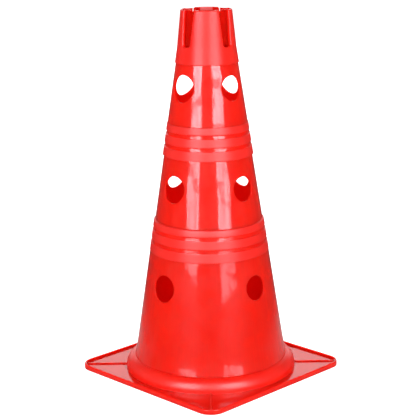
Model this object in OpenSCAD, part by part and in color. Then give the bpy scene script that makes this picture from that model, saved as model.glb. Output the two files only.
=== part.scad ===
// Hollow sports marker cone: a square base, a tapered shell with holes for training poles,
// two groups of raised rings and a fluted neck. The real cone is one moulding. It is cut here
// into its zones, which meet face to face. The holes and the flutes look along X and Y, and
// the ribs lie on the diagonals.

/* [Cone] */
// Height of the whole cone. The rows of holes share it out evenly
cone_h = 380; // [340:1:460]
// Radius of the taper where the neck begins
neck_r = 32; // [30:0.1:38]
// Thickness of the shell, measured level
wall = 2; // [1.6:0.1:2.6]
// How far the lower shell stands in from the taper
lower_inset = 0.1; // [0:0.1:0.6]
// How far the middle shell stands in from the taper
middle_inset = 1.1; // [0:0.1:1.6]
// How far the upper shell stands in from the taper
upper_inset = 0.3; // [0:0.1:0.9]

/* [Base] */
// Side of the square base. The foot ring and the taper follow it
base_w = 201; // [180:1:240]
// From a side of the base in to the foot ring
ring_margin = 10.8; // [8:0.1:16]
// Radius of the base's corners
corner_r = 16.5; // [12:0.5:24]
// Thickness of the plate
plate_t = 3; // [1.8:0.1:3.4]
// Height of the lip round the plate
rim_h = 5.2; // [5:0.1:8]
// Thickness of the lip
rim_t = 2.4; // [1.6:0.1:3]
// Height of a corner rib above the ground
rib_h = 4.4; // [3.8:0.1:4.7]
// Width of a corner rib
rib_w = 2; // [1.4:0.1:3]
// How far the foot ring stands out from the foot of the taper
ring_proud = 10.1; // [7:0.1:13]
// Height of the foot ring
ring_h = 17; // [15:0.5:22]
// Wall of the foot ring
ring_wall = 2.2; // [1.8:0.1:3]

/* [Pole holes] */
// Diameter of the holes where a pole goes in
entry_d = 27.5; // [26:0.1:30]
// Diameter of the holes where it comes out
exit_d = 25.5; // [25:0.1:28]

/* [Rings] */
// Distance from a row of holes up to the rings above it
rings_rise = 30.5; // [26:0.5:33]
// Heights of the rings in a group, from below
ring_heights = [9.4, 8.5, 7.4];
// Height of the groove between two rings
groove_h = 4; // [3:0.1:5]
// How far the rings stand out from the taper
rings_proud = 0.25; // [0.1:0.05:0.8]
// Depth of a groove below its rings
groove_depth = 0.65; // [0.3:0.05:1]

/* [Neck] */
// Distance from the top row of holes up to the neck
neck_rise = 23.7; // [20:0.1:28]
// Height of the neck
neck_h = 53.3; // [50:0.1:60]
// Height of the neck's plain part
plain_h = 17.8; // [14:0.1:20]
// How far the neck stands out from the taper
neck_proud = 0.6; // [0.2:0.1:1.2]
// Outer radius of the neck at its mouth
mouth_r = 26.1; // [25.5:0.1:27.5]
// Radius of the mouth's outer edge
mouth_edge_r = 0.9; // [0.4:0.1:1]
// Depth of a flute at the mouth
flute_depth = 6.3; // [5:0.1:7]
// Depth of a flute at its lower end
flute_foot_depth = 6.8; // [5:0.1:8]
// Width of a flute at the mouth
flute_w = 13.7; // [12:0.1:14.5]
// Width of a flute at its lower end
flute_foot_w = 10; // [9:0.1:11]
// Radius of the corners at its lower end
flute_corner_r = 3; // [2:0.1:4]
// How far a flute reaches down from the mouth
flute_h = 36.3; // [33:0.1:38]
// Width of the slit at the head of a flute
slit_w = 3; // [1.2:0.1:4]
// Depth of that slit
slit_h = 3.6; // [2:0.1:5]

/* [Hidden] */
$fn = 96;

// Colours of the glossy and of the matt plastic
gloss_red = [0.93, 0.09, 0.08];
matt_red = [0.98, 0.27, 0.25];
// How far a cutter runs past the face that it cuts
overrun = 1;
quarter = 90;

// The foot ring stands inside the base, and the shell inside the ring. The ring's outer corner
// is a quarter round that ends on the shell
ring_r = base_w / 2 - ring_margin;
foot_r = ring_r - ring_proud;
ring_round = ring_proud;

// Heights of the rows of holes: the lowest is one pitch above the ground
row_count = 3;
neck_z = cone_h - neck_h;
row_pitch = (neck_z - neck_rise) / row_count;
row_zs = [for (row = [1 : row_count]) row * row_pitch];

// Heights where one zone ends and the next begins
rings_h = ring_heights[0] + ring_heights[1] + ring_heights[2] + 2 * groove_h;
lower_rings_z = row_zs[0] + rings_rise;
upper_rings_z = row_zs[1] + rings_rise;
plain_top_z = neck_z + plain_h;

// The straight taper that the rings lie on, and the one that the neck ends with
taper_share = (foot_r - neck_r) / (neck_z - ring_h);
function taper_r(z) = foot_r - (z - ring_h) * taper_share;
plain_top_r = taper_r(plain_top_z) + neck_proud;
// The cutters of the flutes reach past the widest part that they cut
past_neck_r = max(plain_top_r, mouth_r) + overrun;

// A flute is a flat-bottomed channel with upright walls. Its bed leans out towards its foot
function neck_face_r(z) =
    mouth_r + (plain_top_r - mouth_r) * (cone_h - z) / (cone_h - plain_top_z);
bed_r = mouth_r - flute_depth;
flute_foot_z = cone_h - flute_h;
bed_lean_share = (neck_face_r(flute_foot_z) - flute_foot_depth - bed_r) / flute_h;
function flute_bed_r(z) = bed_r + (cone_h - z) * bed_lean_share;

// A square with round corners, about the axis
module round_square(side, r) {
    square([side, side - 2 * r], center = true);
    square([side - 2 * r, side], center = true);
    for (x = [-1, 1], y = [-1, 1])
        translate([x * (side / 2 - r), y * (side / 2 - r)]) circle(r = r);
}

// A stretch of tapered wall. Its outer and inner radius are given at its lower and upper end
module wall_section(z0, z1, out0, out1, in0, in1) {
    polygon([[in0, z0], [out0, z0], [out1, z1], [in1, z1]]);
}

// The level cylinders of one row of pole holes
module pole_holes(z) {
    reach = foot_r;
    for (side = [0 : 3])
        translate([0, 0, z]) rotate([0, 0, side * quarter]) rotate([0, quarter, 0])
            cylinder(d = side < 2 ? exit_d : entry_d, h = reach);
}

// A glossy stretch of the shell with its row of holes
module shell_zone(z0, z1, inset, hole_z) {
    color(gloss_red) difference() {
        rotate_extrude()
            wall_section(z0, z1, taper_r(z0) - inset, taper_r(z1) - inset,
                         taper_r(z0) - inset - wall, taper_r(z1) - inset - wall);
        pole_holes(hole_z);
    }
}

// The outline of a groove, cut into the belt from outside
module groove_section(z) {
    bed = rings_proud - groove_depth;
    wall_section(z, z + groove_h, taper_r(z) + rings_proud + overrun,
                 taper_r(z + groove_h) + rings_proud + overrun,
                 taper_r(z) + bed, taper_r(z + groove_h) + bed);
}

// A belt of raised rings. Its bore leads from the bore of the shell below to the one above
module ring_belt(z, inset_below, inset_above) {
    top = z + rings_h;
    groove_zs = [z + ring_heights[0], z + ring_heights[0] + groove_h + ring_heights[1]];
    color(matt_red) rotate_extrude() difference() {
        wall_section(z, top, taper_r(z) + rings_proud, taper_r(top) + rings_proud,
                     taper_r(z) - inset_below - wall, taper_r(top) - inset_above - wall);
        for (groove_z = groove_zs) groove_section(groove_z);
    }
}

module base_plate() {
    color(gloss_red) linear_extrude(plate_t) difference() {
        round_square(base_w - 2 * rim_t, corner_r - rim_t);
        circle(r = ring_r);
    }
}

// The lip's section, with its outer face at x = 0 and a round top
module rim_section() {
    translate([-rim_t, 0]) square([rim_t, rim_h - rim_t / 2]);
    translate([-rim_t / 2, rim_h - rim_t / 2]) circle(d = rim_t);
}

module base_rim() {
    straight = base_w - 2 * corner_r;
    color(gloss_red) for (side = [0 : 3]) rotate([0, 0, side * quarter]) {
        translate([base_w / 2, straight / 2, 0]) rotate([quarter, 0, 0])
            linear_extrude(straight) rim_section();
        translate([straight / 2, straight / 2, 0]) rotate_extrude(angle = quarter)
            translate([corner_r, 0]) rim_section();
    }
}

// Each rib stands on the plate and ends on the foot ring and on the lip
module corner_ribs() {
    color(gloss_red) translate([0, 0, plate_t]) linear_extrude(rib_h - plate_t) difference() {
        intersection() {
            round_square(base_w - 2 * rim_t, corner_r - rim_t);
            for (turn = [-1, 1]) rotate(turn * quarter / 2)
                square([2 * base_w, rib_w], center = true);
        }
        circle(r = ring_r);
    }
}

// The foot ring's section, as seen from outside and drawn in by an inset
module bead_section(inset) {
    intersection() {
        square([ring_r, ring_h]);
        union() {
            square([foot_r, ring_h - inset]);
            square([ring_r - inset, ring_h - ring_round]);
            translate([foot_r, ring_h - ring_round]) circle(r = ring_round - inset);
        }
    }
}

module foot_ring() {
    bore_r = foot_r - lower_inset - wall;
    color(gloss_red) rotate_extrude() difference() {
        bead_section(0);
        bead_section(ring_wall);
        square([bore_r, ring_h]);
    }
}

module lower_shell() { shell_zone(ring_h, lower_rings_z, lower_inset, row_zs[0]); }
module lower_bands() { ring_belt(lower_rings_z, lower_inset, middle_inset); }
module middle_shell() { shell_zone(lower_rings_z + rings_h, upper_rings_z, middle_inset, row_zs[1]); }
module upper_bands() { ring_belt(upper_rings_z, middle_inset, upper_inset); }
module upper_shell() { shell_zone(upper_rings_z + rings_h, neck_z, upper_inset, row_zs[2]); }

// The neck's outline, drawn in by an inset, with a soft outer edge at the mouth
module neck_section() {
    edge_z = cone_h - mouth_edge_r;
    polygon([[0, neck_z], [taper_r(neck_z) + neck_proud, neck_z], [plain_top_r, plain_top_z],
             [mouth_r, edge_z], [mouth_r - mouth_edge_r, cone_h], [0, cone_h]]);
    translate([mouth_r - mouth_edge_r, edge_z]) circle(r = mouth_edge_r);
}

// The neck's bore, from the bore of the upper shell to the mouth
module neck_bore() {
    polygon([[0, neck_z - overrun], [taper_r(neck_z) - upper_inset - wall, neck_z - overrun],
             [taper_r(neck_z) - upper_inset - wall, neck_z], [plain_top_r - wall, plain_top_z],
             [mouth_r - wall, cone_h], [mouth_r - wall, cone_h + overrun], [0, cone_h + overrun]]);
}

// A flute as seen from outside, widened by a skin
module flute_front(skin) {
    half_w = flute_w / 2 + skin;
    foot_half_w = flute_foot_w / 2 + skin;
    corner_x = flute_foot_w / 2 - flute_corner_r;
    corner_z = flute_foot_z + flute_corner_r;
    polygon([[-half_w, cone_h + overrun], [-half_w, cone_h], [-foot_half_w, corner_z],
             [-corner_x, flute_foot_z - skin], [corner_x, flute_foot_z - skin],
             [foot_half_w, corner_z], [half_w, cone_h], [half_w, cone_h + overrun]]);
    for (x = [-corner_x, corner_x]) translate([x, corner_z]) circle(r = flute_corner_r + skin);
}

// The same flute as seen from beside it, from below its foot to above the mouth
module flute_side(skin) {
    low_z = flute_foot_z - skin - overrun;
    high_z = cone_h + overrun;
    polygon([[flute_bed_r(low_z) - skin, low_z], [past_neck_r, low_z], [past_neck_r, high_z],
             [flute_bed_r(high_z) - skin, high_z]]);
}

// The four flutes, thickened by the wall where they push into the bore
module flutes(skin) {
    for (side = [0 : 3]) rotate([0, 0, side * quarter]) intersection() {
        rotate([quarter, 0, quarter]) linear_extrude(past_neck_r) flute_front(skin);
        rotate([quarter, 0, 0]) linear_extrude(2 * past_neck_r, center = true) flute_side(skin);
    }
}

module slits() {
    for (side = [0 : 3]) rotate([0, 0, side * quarter])
        translate([bed_r - wall - overrun, -slit_w / 2, cone_h - slit_h])
            cube([wall + 2 * overrun, slit_w, slit_h + overrun]);
}

module pole_socket() {
    color(matt_red) difference() {
        rotate_extrude() neck_section();
        difference() {
            rotate_extrude() neck_bore();
            flutes(wall);
        }
        flutes(0);
        slits();
    }
}

base_plate();
base_rim();
corner_ribs();
foot_ring();
lower_shell();
lower_bands();
middle_shell();
upper_bands();
upper_shell();
pole_socket();
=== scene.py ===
import math
import bmesh
import bpy
from mathutils import Matrix, Vector


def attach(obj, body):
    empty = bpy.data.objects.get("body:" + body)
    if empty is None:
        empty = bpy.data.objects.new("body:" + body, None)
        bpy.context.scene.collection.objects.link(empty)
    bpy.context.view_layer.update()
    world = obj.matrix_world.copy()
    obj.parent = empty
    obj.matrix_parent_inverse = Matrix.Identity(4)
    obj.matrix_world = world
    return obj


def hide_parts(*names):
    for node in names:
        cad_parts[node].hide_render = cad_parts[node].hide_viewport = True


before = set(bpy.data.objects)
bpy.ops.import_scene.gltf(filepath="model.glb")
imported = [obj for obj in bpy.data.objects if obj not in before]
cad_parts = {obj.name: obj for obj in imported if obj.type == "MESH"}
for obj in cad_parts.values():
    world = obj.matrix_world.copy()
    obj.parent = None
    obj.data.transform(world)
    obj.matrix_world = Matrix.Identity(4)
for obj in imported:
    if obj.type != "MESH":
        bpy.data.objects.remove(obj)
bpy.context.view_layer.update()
mm = 0.001
quarter = math.pi / 2

# Sizes are in millimetres. These are the heights at which the cone's zones begin
heights = {
    "plate": 3.0, "lowerShell": 17.0, "lowerBelt": 131.5, "middleShell": 164.8, "upperBelt": 232.5,
    "upperShell": 265.8, "neck": 326.7, "fluted": 344.5, "mouth": 380.0,
}
# Heights of the rows of pole holes, and how far the shell round each row stands in from the taper
rows = {"lower": 101.0, "middle": 202.0, "upper": 303.0}
insets = {"lower": 0.1, "middle": 1.1, "upper": 0.3}
# The straight taper that every zone of the cone is measured from
taper = {"footRadius": 79.6, "neckRadius": 32.0, "wall": 2.0}
# Turns in degrees past which an edge is shaded sharp or rounded off, and distances that count as none
meshing = {"sharpFrom": 50, "roundFrom": 40, "merge": 0.001, "seam": 0.002, "slack": 0.01}


def taperRadius(height):
    fall = (taper["footRadius"] - taper["neckRadius"]) / (heights["neck"] - heights["lowerShell"])
    return taper["footRadius"] - (height - heights["lowerShell"]) * fall


def turned(x, y, height, side):
    # a place drawn for the side that looks along X, turned to the side that is asked for
    place = Vector((x, y, height))
    place.rotate(Matrix.Rotation(side * quarter, 3, "Z"))
    return place


def arcPoints(centre, radius, start, end, steps):
    # points on an arc with both its ends, from one turn in degrees to another
    points = []
    for i in range(steps + 1):
        turn = math.radians(start + (end - start) * i / steps)
        points.append((centre[0] + radius * math.cos(turn), centre[1] + radius * math.sin(turn)))
    return points


def finishPiece(bm, name, materials):
    bmesh.ops.scale(bm, verts=bm.verts, vec=(mm, mm, mm))
    mesh = bpy.data.meshes.new(name)
    bm.to_mesh(mesh)
    bm.free()
    for material in materials:
        mesh.materials.append(material)
    for face in mesh.polygons:
        face.use_smooth = True
    mesh.set_sharp_from_angle(angle=math.radians(meshing["sharpFrom"]))
    piece = bpy.data.objects.new(name, mesh)
    bpy.context.collection.objects.link(piece)
    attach(piece, "root")
    print("made", name, "with", len(mesh.polygons), "faces")
    return piece


def softenEdges(bm, edges, width, segments):
    bmesh.ops.bevel(bm, geom=edges, offset=width, offset_type="OFFSET", segments=segments,
                    profile=0.5, affect="EDGES", clamp_overlap=True, material=-1)


def sharpEdges(bm):
    least = math.radians(meshing["roundFrom"])
    return [edge for edge in bm.edges if len(edge.link_faces) == 2 and edge.calc_face_angle(0.0) > least]


def closeUp(bm):
    bmesh.ops.remove_doubles(bm, verts=bm.verts, dist=meshing["merge"])
    bmesh.ops.recalc_face_normals(bm, faces=bm.faces)


def turnOutline(bm, outline, steps):
    # spins a closed outline of (radius, height) points once round the axis
    verts = [bm.verts.new((radius, 0.0, height)) for radius, height in outline]
    edges = [bm.edges.new((verts[i - 1], verts[i])) for i in range(len(verts))]
    bmesh.ops.spin(bm, geom=verts + edges, cent=(0, 0, 0), axis=(0, 0, 1), dvec=(0, 0, 0),
                   angle=math.tau, steps=steps, use_merge=True, use_normal_flip=False, use_duplicate=False)
    closeUp(bm)


def firstLoop(bm, places):
    loop = bmesh.ops.create_circle(bm, cap_ends=False, segments=len(places), radius=1.0)["verts"]
    for vert, place in zip(loop, places):
        vert.co = place
    return loop


def growLoop(bm, loop, places):
    # extrudes a closed loop of vertices to its next places and returns the new loop
    edges = [bm.edges.get((loop[i - 1], loop[i])) for i in range(len(loop))]
    made = set(bmesh.ops.extrude_edge_only(bm, edges=edges)["geom"])
    grown = []
    for vert in loop:
        ends = [edge.other_vert(vert) for edge in vert.link_edges]
        grown.append(next(end for end in ends if end in made))
    for vert, place in zip(grown, places):
        vert.co = place
    return grown


# Red moulded plastic. Its colour runs from deep to pale where the melt flowed unevenly. Flow and grain give
# the levels of their noise at which a range begins and ends
plastic = {
    "deep": (0.91, 0.008, 0.002), "pale": (0.98, 0.0105, 0.003),
    "flow": (0.35, 0.65), "flowPerMetre": 24.0, "flowDetail": 3.0, "grain": (0.3, 0.7), "grainDetail": 2.0,
    "ior": 1.5, "glowDepth": 0.012, "glowRadius": (1.0, 0.1, 0.08),
}
# Its finishes: glow is the share of light that goes under the skin, relief the depth of the grain in metres.
# The multiplier deepens the colour: a deeper tone on the textured finishes, painted shade on the recessed
# one. The added paleness makes a painted sheen
polished = {"glow": 0.85, "specular": 0.08, "rough": 0.3, "coat": 0.98, "coatRough": 0.05}
plain = {"glow": 0.85, "specular": 0.5, "rough": (0.08, 0.16), "perMetre": 150.0, "relief": 0.000003}
unpolished = {"glow": 0.85, "specular": 0.12, "rough": (0.4, 0.5), "perMetre": 150.0, "relief": 0.000003}
satin = {"glow": 0.5, "specular": 0.37, "rough": (0.3, 0.36), "perMetre": 700.0, "relief": 0.0000005}
textured = {
    "glow": 0.15, "specular": 0.24, "rough": (0.28, 0.36), "perMetre": 1500.0, "relief": 0.00001,
    "toneAndPaintedShade": 0.86,
}
ringed = {
    "glow": 0.15, "specular": 0.32, "rough": (0.36, 0.43), "perMetre": 1500.0, "relief": 0.00001,
    "toneAndPaintedShade": 0.86,
}
# painted shade: a darker red for the beds of the flutes, the inside of the mouth by the flutes and the inner
# side of the lip
paintedShadeFinish = {
    "glow": 0.85, "specular": 0.02, "rough": (0.45, 0.55), "perMetre": 700.0, "relief": 0.000005,
    "toneAndPaintedShade": 0.55,
}
# painted sheen: a duller, paler red for the middle of each lobe inside the mouth
paintedSheenFinish = {
    "glow": 0.3, "specular": 0.3, "rough": (0.4, 0.5), "perMetre": 700.0, "relief": 0.00001,
    "toneAndPaintedShade": 0.62, "paintedSheen": 0.1,
}
# Upright streaks and small smears take some of the polish away
streaks = {"around": 60.0, "perMetre": 14.0, "detail": 2.0, "from": 0.47, "to": 0.56, "take": 0.5}
smears = {"perMetre": 70.0, "detail": 3.0, "from": 0.55, "to": 0.59, "take": 0.65}


def feed(tree, socket, source):
    # links a socket to another one or sets it to a value
    if isinstance(source, bpy.types.NodeSocket):
        tree.links.new(source, socket)
    else:
        socket.default_value = source


def linkedNode(tree, kind, **sources):
    node = tree.nodes.new(kind)
    for name, source in sources.items():
        feed(tree, node.inputs[name.replace("_", " ")], source)
    return node


def mathStep(tree, kind, operation, *sources):
    # a node that works on numbers or on vectors, with its inputs fed in their order
    step = tree.nodes.new(kind)
    step.operation = operation
    for socket, source in zip(step.inputs, sources):
        feed(tree, socket, source)
    return step


def numberStep(tree, operation, *sources):
    return mathStep(tree, "ShaderNodeMath", operation, *sources).outputs[0]


def vectorStep(tree, operation, *sources):
    return mathStep(tree, "ShaderNodeVectorMath", operation, *sources).outputs


def ranged(tree, source, low, high, atLow, atHigh):
    # a value that goes from atLow to atHigh while its source goes from low to high
    return linkedNode(tree, "ShaderNodeMapRange", Value=source, From_Min=low, From_Max=high,
                      To_Min=atLow, To_Max=atHigh).outputs["Result"]


def filledRamp(tree, source, stops):
    # a colour ramp over its source, with a place and a colour for each stop
    ramp = linkedNode(tree, "ShaderNodeValToRGB", Fac=source)
    elements = ramp.color_ramp.elements
    while len(elements) < len(stops):
        elements.new(0.5)
    for element, (position, colour) in zip(elements, stops):
        element.position = position
        element.color = (*colour, 1)
    return ramp.outputs["Color"]


def greyRamp(tree, source, stops):
    return filledRamp(tree, source, [(position, (level, level, level)) for position, level in stops])


def streakPlaces(tree, place):
    # places that run fast round the cone and slowly along it, so that a noise becomes upright streaks
    level = vectorStep(tree, "MULTIPLY", place, (1, 1, 0))[0]
    around = vectorStep(tree, "NORMALIZE", level)[0]
    fast = vectorStep(tree, "MULTIPLY", around, (streaks["around"], streaks["around"], 1))[0]
    return vectorStep(tree, "MULTIPLY_ADD", place, (0, 0, streaks["perMetre"]), fast)[0]


def drawnGloss(tree, shader, place, finish):
    # a clear polish that upright streaks and a few smears weaken
    drawn = linkedNode(tree, "ShaderNodeTexNoise", Vector=streakPlaces(tree, place), Scale=1.0,
                       Detail=streaks["detail"])
    full, worn = finish["coat"], finish["coat"] * (1 - streaks["take"])
    kept = ranged(tree, drawn.outputs["Fac"], streaks["from"], streaks["to"], full, worn)
    patches = linkedNode(tree, "ShaderNodeTexNoise", Vector=place, Scale=smears["perMetre"],
                         Detail=smears["detail"])
    clean = ranged(tree, patches.outputs["Fac"], smears["from"], smears["to"], 1.0, 1 - smears["take"])
    tree.links.new(numberStep(tree, "MULTIPLY", kept, clean), shader.inputs["Coat Weight"])
    shader.inputs["Coat Roughness"].default_value = finish["coatRough"]
    shader.inputs["Coat IOR"].default_value = plastic["ior"]


def moulded(tree, shader, place, finish):
    # the grain of the mould, in the gloss and as a fine relief
    grain = linkedNode(tree, "ShaderNodeTexNoise", Vector=place, Scale=finish["perMetre"],
                       Detail=plastic["grainDetail"])
    rough = ranged(tree, grain.outputs["Fac"], *plastic["grain"], *finish["rough"])
    tree.links.new(rough, shader.inputs["Roughness"])
    bump = linkedNode(tree, "ShaderNodeBump", Height=grain.outputs["Fac"], Strength=1.0,
                      Distance=finish["relief"])
    tree.links.new(bump.outputs["Normal"], shader.inputs["Normal"])


def redPlastic(name, finish):
    material = bpy.data.materials.new(name)
    material.use_nodes = True
    tree = material.node_tree
    shader = tree.nodes["Principled BSDF"]
    shader.inputs["IOR"].default_value = plastic["ior"]
    shader.inputs["Specular IOR Level"].default_value = finish["specular"]
    shader.inputs["Subsurface Weight"].default_value = finish["glow"]
    shader.inputs["Subsurface Radius"].default_value = plastic["glowRadius"]
    shader.inputs["Subsurface Scale"].default_value = plastic["glowDepth"]
    place = tree.nodes.new("ShaderNodeTexCoord").outputs["Object"]
    flow = linkedNode(tree, "ShaderNodeTexNoise", Vector=place, Scale=plastic["flowPerMetre"],
                      Detail=plastic["flowDetail"])
    # the multiplier deepens the red: a deeper tone on the textured and ringed finishes, painted shade on the
    # recessed finish. With the added paleness it makes a painted sheen
    toneAndPaintedShade, paintedSheen = finish.get("toneAndPaintedShade", 1.0), finish.get("paintedSheen", 0.0)
    tones = [[level * toneAndPaintedShade + paintedSheen for level in plastic[tone]] for tone in ("deep", "pale")]
    tint = filledRamp(tree, flow.outputs["Fac"], list(zip(plastic["flow"], tones)))
    tree.links.new(tint, shader.inputs["Base Color"])
    if "coat" in finish:
        shader.inputs["Roughness"].default_value = finish["rough"]
        drawnGloss(tree, shader, place, finish)
    else:
        moulded(tree, shader, place, finish)
    return material


glossRed = redPlastic("polishedRed", polished)
plainRed = redPlastic("plainRed", plain)
innerRed = redPlastic("unpolishedRed", unpolished)
satinRed = redPlastic("satinRed", satin)
mattRed = redPlastic("texturedRed", textured)
ringRed = redPlastic("ringRed", ringed)
# a material with painted shade
paintedShadeRed = redPlastic("recessPaintedShadeRed", paintedShadeFinish)
# a material with a painted sheen
paintedSheenRed = redPlastic("paintedSheenRed", paintedSheenFinish)


# Shell zones: each has four pole holes, wider where the pole goes in than where it comes out. Round a hole
# the wall swells a little, and it flares above the foot ring
holes = {
    "entry": 13.75, "exit": 12.75, "edge": 0.25, "edgeSteps": 3, "clear": 0.5, "around": 96, "rings": 11,
    "collar": 1.6, "settle": 12.0, "swell": 0.3, "swellReach": 7.0, "flare": 0.95, "flareHeight": 12.5,
    "outward": 0.6,
}


def squareTurn(turn):
    # a turn round the circle as a place on the border of a square from -1 to 1
    quarters = (turn / quarter) % 4.0
    side, along = int((quarters + 0.5) % 4), ((quarters + 0.5) % 1.0) * 2 - 1
    return [(1, along), (-along, 1), (-1, -along), (along, -1)][side]


def wallPatch(bm, radiusAt, low, high, holeHeight, holeRadius, side):
    # a quarter of the wall, drawn flat as seen along its hole, ring by ring out to its border
    loop, centre, last = None, Vector((0, holeHeight)), holes["rings"] + 1
    for ring in range(last + 1):
        places = []
        for i in range(holes["around"]):
            turn = math.tau * i / holes["around"]
            across, up = squareTurn(turn)
            height = low + (high - low) * (up + 1) / 2
            border = Vector((radiusAt(height) * math.sin(across * quarter / 2), height))
            out = Vector((math.cos(turn), math.sin(turn)))
            place = centre + out * holeRadius
            if ring > 0:
                collar = centre + out * (holeRadius + holes["collar"])
                place = collar.lerp(border, (ring - 1) / holes["rings"])
            # the swell ends at the border, where the wall meets its neighbours
            reach = (place - centre).length - holeRadius
            swell = holes["swell"] * math.exp(-(reach / holes["swellReach"]) ** 2) if ring < last else 0.0
            depth = math.sqrt(max((radiusAt(place.y) + swell) ** 2 - place.x ** 2, 0.0))
            places.append(turned(depth, place.x, place.y, side))
        loop = growLoop(bm, loop, places) if loop else firstLoop(bm, places)


def shellZone(name, low, high, row):
    bm = bmesh.new()
    holeHeight = rows[row]

    def outerRadius(height):
        flare = max(1 - (height - heights["lowerShell"]) / holes["flareHeight"], 0.0)
        return taperRadius(height) - insets[row] + holes["flare"] * flare

    radii = [holes["exit"], holes["exit"], holes["entry"], holes["entry"]]
    for side in range(4):
        wallPatch(bm, outerRadius, low, high, holeHeight, radii[side], side)
    bmesh.ops.remove_doubles(bm, verts=bm.verts, dist=meshing["seam"])
    # the same sheet again as the inner face; the holes stay level and square to their sides
    made = bmesh.ops.extrude_face_region(bm, geom=bm.faces[:], use_keep_orig=True)["geom"]
    for vert in (item for item in made if isinstance(item, bmesh.types.BMVert)):
        side = round(math.atan2(vert.co.y, vert.co.x) / quarter) % 4
        flat = turned(*vert.co, -side)
        reach = math.hypot(flat.y, flat.z - holeHeight) - radii[side] - holes["collar"]
        share = min(max(reach / holes["settle"], 0.0), 1.0)
        outer = math.hypot(flat.x, flat.y)
        y = flat.y * (1 - share * taper["wall"] / outer)
        vert.co = turned(math.sqrt((outer - taper["wall"]) ** 2 - y ** 2), y, flat.z, side)
    bmesh.ops.recalc_face_normals(bm, faces=bm.faces)
    # the rims of the holes are soft, the ends of the zone meet their neighbours
    lowest, highest = low + holes["clear"], high - holes["clear"]
    rims = [edge for edge in sharpEdges(bm) if lowest < edge.verts[0].co.z < highest]
    softenEdges(bm, rims, holes["edge"], holes["edgeSteps"])
    for face in bm.faces:
        # the inside of the shell and of its holes has no polish
        if face.normal.xy.dot(face.calc_center_median().xy.normalized()) < holes["outward"]:
            face.material_index = 1
    return finishPiece(bm, name, [glossRed, innerRed])


lowerShell = shellZone("lowerShell", heights["lowerShell"], heights["lowerBelt"], "lower")
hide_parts("lower_shell")
middleShell = shellZone("middleShell", heights["middleShell"], heights["upperBelt"], "middle")
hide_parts("middle_shell")
upperShell = shellZone("upperShell", heights["upperShell"], heights["neck"], "upper")
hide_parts("upper_shell")


# Belts of three raised rings with two grooves between them
belt = {
    "rings": (9.4, 8.5, 7.4), "groove": 4.0, "proud": 0.25, "depth": 0.65, "edge": 0.25, "edgeSteps": 2,
    "hold": 0.8, "lead": 0.1, "steps": 192,
}


def ringBelt(name, start, below, above):
    hold = belt["hold"]
    outline, grooves, height = [], [], start
    for i, ringHeight in enumerate(belt["rings"]):
        for z in (height, height + hold, height + ringHeight - hold, height + ringHeight):
            outline.append((taperRadius(z) + belt["proud"], z))
        height += ringHeight
        if i < len(belt["rings"]) - 1:
            grooves.append(height)
            for z in (height, height + hold, height + belt["groove"] - hold, height + belt["groove"]):
                outline.append((taperRadius(z) + belt["proud"] - belt["depth"], z))
            height += belt["groove"]
    # the last ring slopes in to the shell above it
    shellAbove, shellBelow = taperRadius(height) - insets[above], taperRadius(start) - insets[below]
    outline[-1] = (taperRadius(height) + belt["proud"], height - insets[above])
    outline += [(shellAbove + belt["lead"], height), (shellAbove - taper["wall"], height)]
    outline.append((shellBelow - taper["wall"], start))
    bm = bmesh.new()
    turnOutline(bm, outline, belt["steps"])
    softenEdges(bm, sharpEdges(bm), belt["edge"], belt["edgeSteps"])
    for face in bm.faces:
        # the rings are textured, the grooves as glossy as the shell and the inside is unpolished
        middle = face.calc_center_median()
        if middle.xy.length < taperRadius(middle.z) - taper["wall"] / 2:
            face.material_index = 2
        elif any(z < middle.z < z + belt["groove"] for z in grooves):
            face.material_index = 1
    return finishPiece(bm, name, [ringRed, glossRed, innerRed])


lowerBands = ringBelt("lowerBands", heights["lowerBelt"], "lower", "middle")
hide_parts("lower_bands")
upperBands = ringBelt("upperBands", heights["upperBelt"], "middle", "upper")
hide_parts("upper_bands")


# Foot ring, a hollow bead round the lower end of the shell. Below the plate's face it fits the plate
footRing = {
    "radius": 89.7, "bend": 12.0, "wall": 2.2, "fillet": 0.3, "sunk": 0.3, "lap": 0.05, "straight": 0.6,
    "crown": (0, 86), "lift": 0.02, "filletSteps": 5, "crownSteps": 14, "innerSteps": 10, "steps": 192,
}


def footRingPiece():
    radius, bend, wall, fillet = (footRing[key] for key in ("radius", "bend", "wall", "fillet"))
    plate, top, lap = heights["plate"], heights["lowerShell"], footRing["lap"]
    shellInner = taper["footRadius"] - insets["lower"] - taper["wall"]
    outline = [(radius, 0.0), (radius, plate - footRing["sunk"])]
    corner = (radius + fillet, plate + fillet - lap)
    outline += arcPoints(corner, fillet, -90, -180, footRing["filletSteps"])
    outline += [(radius, top - bend - footRing["straight"])]
    outline += arcPoints((radius - bend, top - bend), bend, *footRing["crown"], footRing["crownSteps"])
    outline += [(taper["footRadius"], top + footRing["lift"]), (shellInner, top), (shellInner, top - wall)]
    outline += arcPoints((radius - bend, top - bend), bend - wall, 90, 0, footRing["innerSteps"])
    outline += [(radius - wall, 0.0)]
    bm = bmesh.new()
    turnOutline(bm, outline, footRing["steps"])
    return finishPiece(bm, "footRing", [satinRed])


footRingObject = footRingPiece()
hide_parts("foot_ring")


# Lip round the base, with a round crown and a fillet on the plate
lip = {
    "side": 201.0, "corner": 16.5, "height": 5.2, "wall": 2.4, "fillet": 0.8, "sunk": 0.3, "lap": 0.05,
    "crown": (12, 168), "foot": (-18, -90), "crownSteps": 8, "footSteps": 4, "cornerSteps": 14,
    "upright": 0.5,
}


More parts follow.
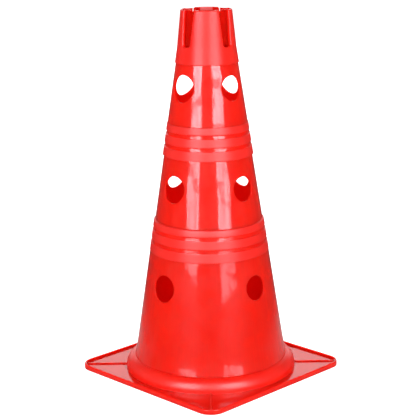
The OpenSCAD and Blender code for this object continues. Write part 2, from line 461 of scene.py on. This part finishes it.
def lipPiece():
    half, corner, wall, fillet = lip["side"] / 2, lip["corner"], lip["wall"], lip["fillet"]
    plate, crown = heights["plate"], wall / 2
    shoulder = lip["height"] - crown
    section = [(0.0, 0.0), (0.0, shoulder)]
    section += arcPoints((-crown, shoulder), crown, *lip["crown"], lip["crownSteps"])
    section += [(-wall, shoulder), (-wall, plate + fillet)]
    foot = (-wall - fillet, plate + fillet - lip["lap"])
    section += arcPoints(foot, fillet, *lip["foot"], lip["footSteps"])
    section += [(-wall, plate - lip["sunk"]), (-wall, 0.0)]
    bm = bmesh.new()
    ends = []
    for side in range(4):
        centre = turned(half - corner, half - corner, 0, side)
        out = turned(1, 0, 0, side)
        verts = [bm.verts.new(centre + out * (corner + x) + Vector((0, 0, z))) for x, z in section]
        edges = [bm.edges.new((verts[i - 1], verts[i])) for i in range(len(verts))]
        last = bmesh.ops.spin(bm, geom=verts + edges, cent=centre, axis=(0, 0, 1), dvec=(0, 0, 0),
                              angle=quarter, steps=lip["cornerSteps"], use_merge=False,
                              use_normal_flip=False, use_duplicate=False)["geom_last"]
        ends.append((edges, [item for item in last if isinstance(item, bmesh.types.BMEdge)]))
    for side in range(4):
        bmesh.ops.bridge_loops(bm, edges=ends[side][1] + ends[(side + 1) % 4][0])
    closeUp(bm)
    for face in bm.faces:
        # the side of the lip that looks in over the plate takes painted shade, a darker red
        middle = face.calc_center_median()
        inward = abs(face.normal.z) < lip["upright"] and face.normal.xy.dot(middle.xy) < 0
        if inward and middle.z > plate:
            face.material_index = 1
    return finishPiece(bm, "lip", [plainRed, paintedShadeRed])


lipObject = lipPiece()
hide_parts("base_rim")


# Ribs from the foot ring to the corners of the lip. Their ends and feet reach into what carries them
rib = {"width": 2.0, "sunk": 0.2, "high": 4.4, "start": 89.0, "edge": 0.6, "edgeSteps": 3}


def ribsPiece():
    low, high, start = heights["plate"] - rib["sunk"], rib["high"], rib["start"]
    end = (lip["side"] / 2 - lip["corner"]) * math.sqrt(2) + lip["corner"] - lip["wall"] + rib["sunk"]
    bm = bmesh.new()
    for side in range(4):
        made = bmesh.ops.create_cube(bm, size=1.0)["verts"]
        bmesh.ops.scale(bm, verts=made, vec=(end - start, rib["width"], high - low))
        bmesh.ops.translate(bm, verts=made, vec=((end + start) / 2, 0, (high + low) / 2))
        turn = Matrix.Rotation((side + 0.5) * quarter, 3, "Z")
        bmesh.ops.rotate(bm, verts=made, cent=(0, 0, 0), matrix=turn)
    crests = [edge for edge in bm.edges if all(v.co.z > high - meshing["slack"] for v in edge.verts)]
    softenEdges(bm, crests, rib["edge"], rib["edgeSteps"])
    return finishPiece(bm, "ribs", [plainRed])


ribsObject = ribsPiece()
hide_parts("corner_ribs")


# Neck, open at its mouth, with four flat-bottomed flutes and a slit at the head of each. Levels are heights
# above the foot of the neck or of a flute at which its outline is drawn. Turns are the steps of a round edge,
# in radians, and the half-width of the painted sheen inside each lobe is in degrees
neck = {
    "proud": 0.6, "mouth": 26.1, "edge": 0.9, "innerEdge": 0.5, "edgeSteps": 4, "footEdge": 0.3,
    "footTurns": (quarter, 0.8, 0.0), "levels": (1.0, 5.0, 10.0), "lastLevel": 2.0, "lobeSteps": 8,
    "outward": -0.3, "paintedShadeDepth": 2.4, "rim": 0.5, "paintedSheenSpread": 16.0,
}
flute = {
    "depth": 6.3, "footDepth": 6.8, "width": 13.7, "footWidth": 10.0, "corner": 3.0, "reach": 36.3,
    "shoulder": 1.3, "leastShoulder": 0.3, "bedCorner": 0.3, "innerShoulder": 1.0, "innerCorner": 1.6,
    "cornerShare": 0.3, "shelfEdge": 0.8, "shelfTurns": (0.8, 1.2, quarter), "footBend": 1.0,
    "bendTurns": (0.0, 0.5, 1.0), "levels": (1.0, 2.0, 3.0, 5.0), "steps": 6, "cornerSteps": 4,
    "wallSteps": 3, "shoulderSteps": 5, "slitWidth": 3.0, "slitDepth": 3.6, "slitShare": 0.8,
    "plainTurn": 0.1,
}


def neckFace(height):
    plainTop = taperRadius(heights["fluted"]) + neck["proud"]
    if height <= heights["fluted"]:
        return taperRadius(height) + neck["proud"]
    share = (height - heights["fluted"]) / (heights["mouth"] - heights["fluted"])
    return plainTop + (neck["mouth"] - plainTop) * share


def neckBore(height):
    lowest = taper["neckRadius"] - insets["upper"] - taper["wall"]
    if height > heights["fluted"]:
        return neckFace(height) - taper["wall"]
    share = (height - heights["neck"]) / (heights["fluted"] - heights["neck"])
    return lowest + (neckFace(heights["fluted"]) - taper["wall"] - lowest) * share


def fluteBed(height):
    footRadius = neckFace(heights["mouth"] - flute["reach"]) - flute["footDepth"]
    topRadius = neck["mouth"] - flute["depth"]
    return topRadius + (footRadius - topRadius) * (heights["mouth"] - height) / flute["reach"]


def fluteHalfWidth(height, skin):
    # half the width of a flute, whose lower corners are round
    foot, corner = heights["mouth"] - flute["reach"], flute["corner"]
    if height <= foot + corner:
        bend = corner + skin
        up = min(max(height - foot + skin, 0.0), bend)
        return flute["footWidth"] / 2 - corner + math.sqrt(bend ** 2 - (bend - up) ** 2)
    share = (height - foot - corner) / (flute["reach"] - corner)
    return (flute["footWidth"] + (flute["width"] - flute["footWidth"]) * share) / 2 + skin


def neckOutline(height, radius, halfWidth=0.0, depth=0.0, corner=0.0, shoulder=0.0):
    # one level of the neck: a circle with four channels, or with none where they have no depth
    most = flute["cornerShare"] * depth
    corner, shoulder, bed = min(corner, most), min(shoulder, most), radius - depth
    cornerSteps, wallSteps, shoulderSteps = (flute[key + "Steps"] for key in ("corner", "wall", "shoulder"))
    if depth > 0:
        bendY = halfWidth + shoulder
        bendX = math.sqrt((radius - shoulder) ** 2 - bendY ** 2)
        tip, flat = math.atan2(bendY, bendX), halfWidth - corner
        slit = min(flute["slitWidth"] / 2, flat * flute["slitShare"])
        half = [(bed, 0.0), (bed, slit), (bed, (slit + flat) / 2)]
        half += arcPoints((bed + corner, flat), corner, 180, 90, cornerSteps)
        wall = bendX - bed - corner
        half += [(bed + corner + wall * i / wallSteps, halfWidth) for i in range(1, wallSteps)]
        half += arcPoints((bendX, bendY), shoulder, -90, math.degrees(tip), shoulderSteps)
    else:
        # as many points as a channel has
        tip, steps = flute["plainTurn"], cornerSteps + wallSteps + shoulderSteps + 3
        half = arcPoints((0, 0), radius, 0, math.degrees(tip), steps)
    half += arcPoints((0, 0), radius, math.degrees(tip), 45, neck["lobeSteps"])[1:]
    points = [(x, -y) for x, y in reversed(half[1:-1])] + half
    return [turned(x, y, height, side) for side in range(4) for x, y in points]


def neckSide(skin):
    # the levels of one side of the wall from under the flutes up to the mouth
    low, top, shelf, bend = heights["neck"], heights["mouth"], flute["shelfEdge"], flute["footBend"]
    foot = top - flute["reach"] - skin
    radiusAt = neckBore if skin else neckFace
    corner = flute["innerCorner"] if skin else flute["bedCorner"]
    shoulder = flute["innerShoulder"] if skin else flute["shoulder"]

    def depthAt(z):
        return radiusAt(z) - fluteBed(z) + skin

    # the foot of a flute: a soft edge into its shelf and a round from the shelf up to the bed
    levels = [(low + up, 0.0) for up in neck["levels"]] + [(foot - shelf, 0.0)]
    for turn in flute["shelfTurns"]:
        levels.append((foot - shelf + shelf * math.sin(turn), shelf * (1 - math.cos(turn))))
    for turn in flute["bendTurns"]:
        levels.append((foot + bend * (1 - math.cos(turn)), depthAt(foot) - bend * (1 - math.sin(turn))))
    straight = [foot + up for up in flute["levels"]]
    start, rise = straight[-1], top - flute["slitDepth"] - straight[-1]
    straight += [start + rise * i / flute["steps"] for i in range(1, flute["steps"] + 1)]
    levels += [(z, depthAt(z)) for z in straight + [top - neck["lastLevel"]]]
    outlines = []
    for z, depth in levels:
        outlines.append(neckOutline(z, radiusAt(z), fluteHalfWidth(z, skin), depth, corner, shoulder))
    # the soft edge at the mouth draws the outline into the wall
    soft = -neck["innerEdge"] if skin else neck["edge"]
    for i in range(neck["edgeSteps"] + 1):
        turn = quarter * i / neck["edgeSteps"]
        z, draw = top - abs(soft) * (1 - math.sin(turn)), soft * (1 - math.cos(turn))
        left = max(shoulder - draw, flute["leastShoulder"])
        outlines.append(neckOutline(z, radiusAt(z) - draw, fluteHalfWidth(z, skin) + draw, depthAt(z),
                                    corner + draw, left))
    return outlines


def cutSlits(bm):
    # opens a slit in the bed at the head of each flute and closes its sides and its foot
    half, foot, slack = flute["slitWidth"] / 2, heights["mouth"] - flute["slitDepth"], meshing["slack"]

    def inSlit(flat, slack):
        return flat.x > 0 and abs(flat.y) < half + slack and flat.z > foot - slack

    for side in range(4):
        opened = [face for face in bm.faces if inSlit(turned(*face.calc_center_median(), -side), 0.0)]
        bmesh.ops.delete(bm, geom=opened, context="FACES")
        flat = {vert: turned(*vert.co, -side) for vert in bm.verts}
        corners = [vert for vert in bm.verts if vert.is_boundary and inSlit(flat[vert], slack)
                   and abs(flat[vert].z - foot) < slack and abs(flat[vert].y) > half - slack]
        for sign in (-1, 1):
            bm.edges.new([vert for vert in corners if flat[vert].y * sign > 0])
        loose = [edge for edge in bm.edges if len(edge.link_faces) < 2]
        rim = [edge for edge in loose if all(inSlit(flat[v], slack) for v in edge.verts)]
        left = [edge for edge in rim if all(flat[v].y < slack - half for v in edge.verts)]
        right = [edge for edge in rim if all(flat[v].y > half - slack for v in edge.verts)]
        bottom = [edge for edge in rim if all(flat[v].z < foot + slack for v in edge.verts)]
        for edges in (left, right, bottom):
            bmesh.ops.contextual_create(bm, geom=edges)


def neckFinish(face):
    # painted shade darkens the beds of the flutes and, inside the mouth, the wall round each flute; a painted
    # sheen pales the middle of each lobe inside
    middle, top = face.calc_center_median(), heights["mouth"]
    if face.normal.xy.dot(middle.xy.normalized()) > neck["outward"]:
        deep = neckFace(middle.z) - middle.xy.length > neck["paintedShadeDepth"]
        return 1 if deep and middle.z < top - neck["rim"] else 0
    if middle.z <= top - flute["slitDepth"]:
        return 0
    fromLobe = math.degrees(math.atan2(middle.y, middle.x)) % 90 - 45
    return 2 if abs(fromLobe) < neck["paintedSheenSpread"] else 1


def neckPiece():
    bm = bmesh.new()
    low, soft = heights["neck"], neck["footEdge"]
    outlines = []
    for turn in neck["footTurns"]:
        z, draw = low + soft * (1 - math.sin(turn)), soft * (1 - math.cos(turn))
        outlines.append(neckOutline(z, neckFace(low) - draw))
    outlines += neckSide(0.0) + neckSide(taper["wall"])[::-1]
    outlines += [neckOutline(low, neckBore(low)), outlines[0]]
    loop = firstLoop(bm, outlines[0])
    for places in outlines[1:]:
        loop = growLoop(bm, loop, places)
    closeUp(bm)
    cutSlits(bm)
    bmesh.ops.recalc_face_normals(bm, faces=bm.faces)
    for face in bm.faces:
        face.material_index = neckFinish(face)
    # the textured red, the red with painted shade and the red with a painted sheen
    return finishPiece(bm, "poleSocket", [mattRed, paintedShadeRed, paintedSheenRed])


poleSocket = neckPiece()
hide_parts("pole_socket")

# The base plate keeps its solid
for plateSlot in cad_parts["base_plate"].material_slots:
    plateSlot.material = plainRed
print("the base plate takes the plain red")


# Floor and surroundings: white to the camera, plain and even for the light on the object. The gloss mirrors
# a studio of its own, whose front is the side of the camera. Lengths here are in metres
studio = {
    "floorSize": 60.0, "floorDrop": 0.0002, "floorColour": 0.8, "floorRough": 0.9, "floorSeen": 0.75,
    "ambient": (1.2, 0.35), "front": (0.7071, -0.7071, 0.0), "mirroredFloor": (0.07, 0.3),
    "mirroredRing": ((0.09, 0.0), (0.11, 0.35), (0.2, 0.35), (0.45, 0.0)),
    "mirror": ((0.0, 0.38), (0.3, 0.16), (0.5, 0.06), (0.92, 0.1), (0.955, 1.55)),
}


def mixShaders(tree, share, first, second):
    mix = tree.nodes.new("ShaderNodeMixShader")
    for socket, source in zip(mix.inputs, (share, first, second)):
        tree.links.new(source, socket)
    return mix.outputs[0]


def makeFloor():
    bm = bmesh.new()
    bmesh.ops.create_grid(bm, x_segments=1, y_segments=1, size=studio["floorSize"] / 2)
    mesh = bpy.data.meshes.new("floor")
    bm.to_mesh(mesh)
    bm.free()
    floor = bpy.data.objects.new("floor", mesh)
    bpy.context.collection.objects.link(floor)
    material = bpy.data.materials.new("paleFloor")
    material.use_nodes = True
    tree = material.node_tree
    shader = tree.nodes["Principled BSDF"]
    shader.inputs["Base Color"].default_value = (*[studio["floorColour"]] * 3, 1)
    shader.inputs["Roughness"].default_value = studio["floorRough"]
    shader.inputs["Specular IOR Level"].default_value = 0.0
    shader.inputs["Emission Color"].default_value = (1, 1, 1, 1)
    path = tree.nodes.new("ShaderNodeLightPath")
    glow = numberStep(tree, "MULTIPLY", path.outputs["Is Camera Ray"], studio["floorSeen"])
    tree.links.new(glow, shader.inputs["Emission Strength"])
    # the gloss mirrors a paler floor in front of the cone and close to it than beside it
    place = tree.nodes.new("ShaderNodeTexCoord").outputs["Object"]
    forward = vectorStep(tree, "DOT_PRODUCT", place, studio["front"])["Value"]
    level = ranged(tree, forward, 0.0, 1.0, *studio["mirroredFloor"])
    away = vectorStep(tree, "LENGTH", place)["Value"]
    near = greyRamp(tree, away, studio["mirroredRing"])
    paler = numberStep(tree, "MAXIMUM", level, near)
    mirrored = linkedNode(tree, "ShaderNodeEmission", Strength=paler).outputs[0]
    surface = mixShaders(tree, path.outputs["Is Glossy Ray"], shader.outputs[0], mirrored)
    tree.links.new(surface, tree.nodes["Material Output"].inputs["Surface"])
    mesh.materials.append(material)
    floor.location.z = -studio["floorDrop"]


def makeWorld():
    world = bpy.context.scene.world or bpy.data.worlds.new("studio")
    bpy.context.scene.world = world
    world.use_nodes = True
    tree = world.node_tree
    tree.nodes.clear()
    out = tree.nodes.new("ShaderNodeOutputWorld")
    path = tree.nodes.new("ShaderNodeLightPath")
    direction = tree.nodes.new("ShaderNodeTexCoord").outputs["Generated"]
    # the studio that the gloss mirrors: pale in front, dim at the sides and white behind
    back = vectorStep(tree, "DOT_PRODUCT", direction, [-v for v in studio["front"]])["Value"]
    spread = ranged(tree, back, -1.0, 1.0, 0.0, 1.0)
    mirrored = greyRamp(tree, spread, studio["mirror"])
    mirror = linkedNode(tree, "ShaderNodeBackground", Color=mirrored)
    # less light comes from high up than from level with the cone
    height = linkedNode(tree, "ShaderNodeSeparateXYZ", Vector=direction)
    fall = ranged(tree, height.outputs["Z"], 0.0, 1.0, *studio["ambient"])
    ambient = linkedNode(tree, "ShaderNodeBackground", Strength=fall)
    white = linkedNode(tree, "ShaderNodeBackground", Strength=1.0)
    lit = mixShaders(tree, path.outputs["Is Glossy Ray"], ambient.outputs[0], mirror.outputs[0])
    seen = numberStep(tree, "MAXIMUM", path.outputs["Is Camera Ray"], path.outputs["Is Transmission Ray"])
    surface = mixShaders(tree, seen, lit, white.outputs[0])
    tree.links.new(surface, out.inputs["Surface"])


# Lamps. The gloss alone mirrors the two tall strip boxes, whose reflections run down the cone and end there
# in two dimmer steps. The fills light the colours alone. Azimuth is measured from the camera's side of the
# cone, to the right in the picture, and a size is a width and a height
strips = {
    "leftStrip": {"azimuth": -32.3, "height": 1.485, "size": (1.11, 2.03), "radiance": 11.5},
    "leftStripLow": {"azimuth": -34.7, "height": 0.34, "size": (0.94, 0.26), "radiance": 9.0},
    "leftStripFoot": {"azimuth": -34.7, "height": 0.16, "size": (0.94, 0.1), "radiance": 4.0},
    "rightStrip": {"azimuth": 31.5, "height": 1.485, "size": (1.17, 2.03), "radiance": 11.5},
    "rightStripLow": {"azimuth": 33.8, "height": 0.335, "size": (1.01, 0.27), "radiance": 9.0},
    "rightStripFoot": {"azimuth": 33.8, "height": 0.13, "size": (1.01, 0.14), "radiance": 3.2},
}
fills = {
    "frontFill": {"azimuth": 0, "height": 1.0, "size": (2.5, 1.7), "radiance": 7.2},
    "leftFill": {"azimuth": -110, "height": 1.1, "size": (2.0, 2.0), "radiance": 1.9},
    "rightFill": {"azimuth": 110, "height": 1.1, "size": (2.0, 2.0), "radiance": 1.9},
    "backFill": {"azimuth": 180, "height": 1.1, "size": (2.0, 2.0), "radiance": 2.6},
}
lamps = {
    "stripDistance": 2.0, "stripColour": (0.96, 0.98, 1.07), "fillDistance": 3.0, "fillColour": (1, 1, 1),
    "frontTurn": -45,
}


def areaLight(name, lamp, distance, glossy):
    width, height = lamp["size"]
    light = bpy.data.lights.new(name, "AREA")
    light.shape = "RECTANGLE"
    light.size, light.size_y = width, height
    light.energy = lamp["radiance"] * math.pi * width * height
    light.color = lamps["stripColour"] if glossy else lamps["fillColour"]
    lampObject = bpy.data.objects.new(name, light)
    bpy.context.collection.objects.link(lampObject)
    turn = math.radians(lamps["frontTurn"] + lamp["azimuth"])
    lampObject.location = (math.cos(turn) * distance, math.sin(turn) * distance, lamp["height"])
    aim = Vector((0, 0, lamp["height"])) - lampObject.location
    lampObject.rotation_mode = "QUATERNION"
    lampObject.rotation_quaternion = aim.to_track_quat("-Z", "Y")
    lampObject.visible_diffuse, lampObject.visible_glossy = not glossy, glossy


makeFloor()
makeWorld()
for stripName, strip in strips.items():
    areaLight(stripName, strip, lamps["stripDistance"], True)
for fillName, fill in fills.items():
    areaLight(fillName, fill, lamps["fillDistance"], False)
print("lights and floor stand")


# Camera, fitted to the photograph. Lengths are in millimetres and turns in degrees
shot = {
    "distance": 1294.77, "height": 494.72, "pitch": 14.002, "yaw": 0.055, "roll": -0.712, "turn": 45.088,
    "focal": 109.683, "sensor": 36.0,
}


def makeCamera():
    pitch, yaw, roll = (math.radians(shot[key]) for key in ("pitch", "yaw", "roll"))
    forward = Vector((math.sin(yaw) * math.cos(pitch), math.cos(yaw) * math.cos(pitch), -math.sin(pitch)))
    right = Vector((math.cos(yaw), -math.sin(yaw), 0))
    up = right.cross(forward)
    across = math.cos(roll) * right + math.sin(roll) * up
    upright = -math.sin(roll) * right + math.cos(roll) * up
    axes = Matrix((across, upright, -forward)).transposed().to_4x4()
    turn = Matrix.Rotation(math.radians(shot["turn"]), 4, "Z")
    data = bpy.data.cameras.new("camera")
    data.lens, data.sensor_width = shot["focal"], shot["sensor"]
    camera = bpy.data.objects.new("camera", data)
    bpy.context.collection.objects.link(camera)
    place = Matrix.Translation(Vector((0, -shot["distance"], shot["height"])) * mm)
    camera.matrix_world = turn @ place @ axes
    bpy.context.scene.camera = camera


makeCamera()
bpy.context.scene.view_settings.view_transform = "Standard"
